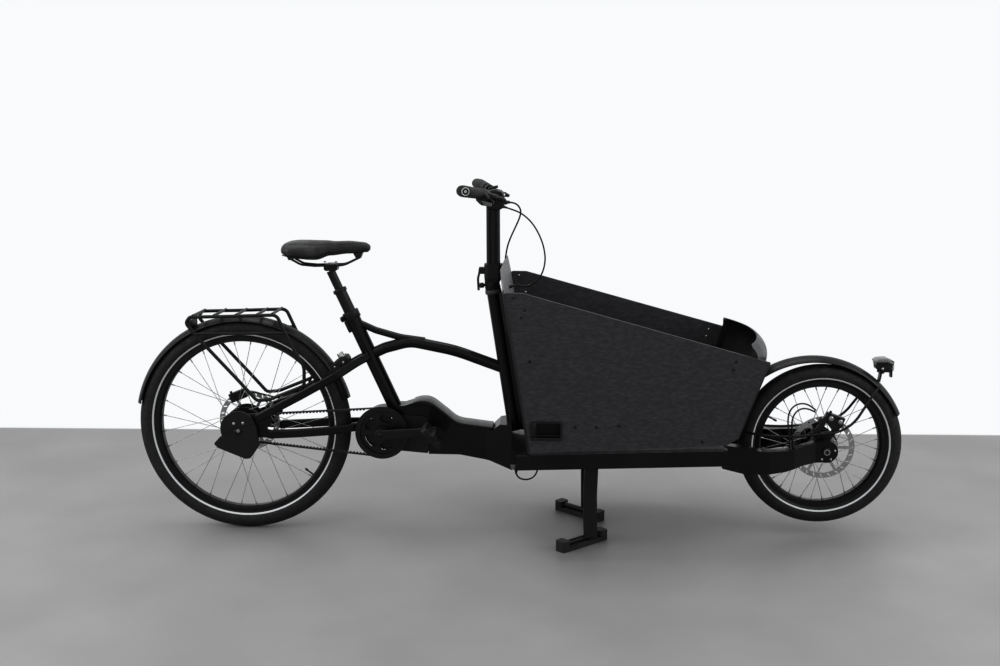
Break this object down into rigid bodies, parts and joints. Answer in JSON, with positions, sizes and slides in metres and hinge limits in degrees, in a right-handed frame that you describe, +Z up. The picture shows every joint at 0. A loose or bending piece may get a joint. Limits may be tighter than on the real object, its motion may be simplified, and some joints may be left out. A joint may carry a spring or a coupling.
{
  "type": "cargo bicycle",
  "caption": "Front-loading electric cargo bicycle with a tapered panel box ahead of the bar, belt drive, rack, mudguards and a deployed twin-leg stand.",
  "frame": {"origin": "on the ground, under the middle of the bounding box", "axes": "+X forwards, +Y to the rider's left, +Z up"},
  "size_m": [2.5009, 0.6996, 1.1454],
  "materials": {
    "frame_paint": "deep gloss black lacquer on aluminium",
    "motor_casing": "satin dark casing",
    "rubber_tyre": "matt black with a pale reflective stripe",
    "rim_black": "satin black anodised",
    "spoke_steel": "polished stainless",
    "hub_black": "satin black anodised",
    "rotor_steel": "ground stainless",
    "axle_steel": "turned steel",
    "belt_rubber": "matt black",
    "black_plastic": "fine grained black",
    "fender_black": "satin black mudguard",
    "panel_board": "phenolic faced birch ply, fine embossed grain",
    "nose_shell": "smooth black moulded shell",
    "sheet_alloy": "bead blasted grey",
    "saddle_cover": "matt black synthetic cover",
    "grip_rubber": "soft matt black",
    "hose_black": "satin black hose",
    "foot_rubber": "matt black",
    "lamp_body": "dark body with clear lens",
    "alloy_black": "black anodised alloy"
  },
  "bodies": {
    "frame": {"main_beam": "frame_paint", "motor_housing": "motor_casing", "seat_tube": "frame_paint", "head_pillar": "frame_paint", "top_tube": "frame_paint", "rear_stays": "frame_paint", "rear_axle": "axle_steel", "hub_interface": "black_plastic", "rear_caliper": "alloy_black", "drive_belt": "belt_rubber", "rear_fender": "fender_black", "rack": "alloy_black", "ring_lock": "black_plastic", "box_underframe": "frame_paint", "front_arms": "frame_paint", "front_axle": "axle_steel", "box_panel_right": "panel_board", "box_panel_left": "panel_board", "box_rear_wall": "sheet_alloy", "box_floor": "panel_board", "box_nose": "nose_shell", "battery": "black_plastic", "frame_hoses": "hose_black"},
    "rear_wheel": {"rear_tyre": "rubber_tyre", "rear_rim": "rim_black", "rear_spokes": "spoke_steel", "rear_hub_shell": "hub_black", "rear_rotor": "rotor_steel"},
    "belt_sprocket": {"rear_sprocket": "axle_steel"},
    "crankset": {"chainring": "alloy_black", "crank_arms": "alloy_black"},
    "right_pedal": {"pedal_right": "black_plastic"},
    "left_pedal": {"pedal_left": "black_plastic"},
    "knuckle": {"front_knuckle": "alloy_black", "front_caliper": "alloy_black", "front_fender": "fender_black", "front_fender_stays": "alloy_black", "front_hoses": "hose_black"},
    "front_wheel": {"front_tyre": "rubber_tyre", "front_rim": "rim_black", "front_spokes": "spoke_steel", "front_hub_shell": "hub_black", "front_rotor": "rotor_steel"},
    "lamp": {"headlight": "lamp_body"},
    "seat_sleeve": {"seat_sleeve": "alloy_black"},
    "saddle": {"seat_post": "alloy_black", "saddle_pad": "saddle_cover"},
    "column": {"steerer": "alloy_black"},
    "clamp_lever": {"qr_lever": "alloy_black"},
    "stem": {"stem_post": "alloy_black", "handlebar": "alloy_black", "grips": "grip_rubber", "brake_bodies": "alloy_black", "bar_hoses": "hose_black"},
    "right_brake_lever": {"brake_lever_right": "alloy_black"},
    "left_brake_lever": {"brake_lever_left": "alloy_black"},
    "shifter": {"shift_ring": "grip_rubber"},
    "stand": {"stand_legs": "alloy_black", "stand_feet": "foot_rubber"}
  },
  "joints": [
    {"name": "rear_wheel_spin", "type": "hinge", "parent": "frame", "child": "rear_wheel", "pos_m": [-0.89448, 0, 0.352], "axis": [0, 1, 0], "continuous": true},
    {"name": "crank_spin", "type": "hinge", "parent": "frame", "child": "crankset", "pos_m": [-0.43248, 0, 0.34], "axis": [0, 1, 0], "continuous": true},
    {"name": "sprocket_spin", "type": "hinge", "parent": "frame", "child": "belt_sprocket", "pos_m": [-0.89448, 0, 0.352], "axis": [0, 1, 0], "continuous": true},
    {"name": "right_pedal_spin", "type": "hinge", "parent": "crankset", "child": "right_pedal", "pos_m": [-0.25807, 0, 0.35434], "axis": [0, 1, 0], "continuous": true},
    {"name": "left_pedal_spin", "type": "hinge", "parent": "crankset", "child": "left_pedal", "pos_m": [-0.60689, 0, 0.32566], "axis": [0, 1, 0], "continuous": true},
    {"name": "steering", "type": "hinge", "parent": "frame", "child": "column", "pos_m": [-0.05581, 0, 0.7], "axis": [-0.1485, 0, 0.9889], "range_deg": [-22, 22]},
    {"name": "wheel_steer", "type": "hinge", "parent": "frame", "child": "knuckle", "pos_m": [0.98752, 0, 0.3003], "axis": [-0.1485, 0, 0.9889], "range_deg": [-22, 22]},
    {"name": "front_wheel_spin", "type": "hinge", "parent": "knuckle", "child": "front_wheel", "pos_m": [0.98752, 0, 0.3003], "axis": [0, 1, 0], "continuous": true},
    {"name": "lamp_tilt", "type": "hinge", "parent": "knuckle", "child": "lamp", "pos_m": [1.17352, 0, 0.552], "axis": [0, 1, 0], "range_deg": [-12, 12]},
    {"name": "stem_height", "type": "slide", "parent": "column", "child": "stem", "axis": [0, 0, 1], "range_m": [0, 0.03]},
    {"name": "clamp_lever_open", "type": "hinge", "parent": "column", "child": "clamp_lever", "pos_m": [-0.10998, 0, 0.864], "axis": [0, 1, 0], "range_deg": [0, 100]},
    {"name": "right_brake_pull", "type": "hinge", "parent": "stem", "child": "right_brake_lever", "pos_m": [-0.06789, -0.20448, 1.09131], "axis": [-0.6656, 0.1025, -0.7392], "range_deg": [0, 11], "stiffness_Nm_per_rad": 1.2},
    {"name": "left_brake_pull", "type": "hinge", "parent": "stem", "child": "left_brake_lever", "pos_m": [-0.06789, 0.20448, 1.09131], "axis": [0.6656, 0.1025, 0.7392], "range_deg": [0, 11], "stiffness_Nm_per_rad": 1.2},
    {"name": "shift_twist", "type": "hinge", "parent": "stem", "child": "shifter", "pos_m": [-0.09758, -0.21028, 1.11724], "axis": [-0.2421, -0.9666, 0.084], "range_deg": [-60, 60]},
    {"name": "seat_sleeve_height", "type": "slide", "parent": "frame", "child": "seat_sleeve", "axis": [-0.4104, 0, 0.9119], "range_m": [-0.06, 0.04]},
    {"name": "seat_dropper", "type": "slide", "parent": "seat_sleeve", "child": "saddle", "axis": [-0.4104, 0, 0.9119], "range_m": [-0.04, 0]},
    {"name": "stand_fold", "type": "hinge", "parent": "frame", "child": "stand", "pos_m": [0.24552, 0, 0.25], "axis": [0, 1, 0], "range_deg": [0, 65]}
  ],
  "couplings": [
    {"joint": "sprocket_spin", "follows": "crank_spin", "ratio": 1.9167},
    {"joint": "wheel_steer", "follows": "steering", "ratio": 1}
  ]
}
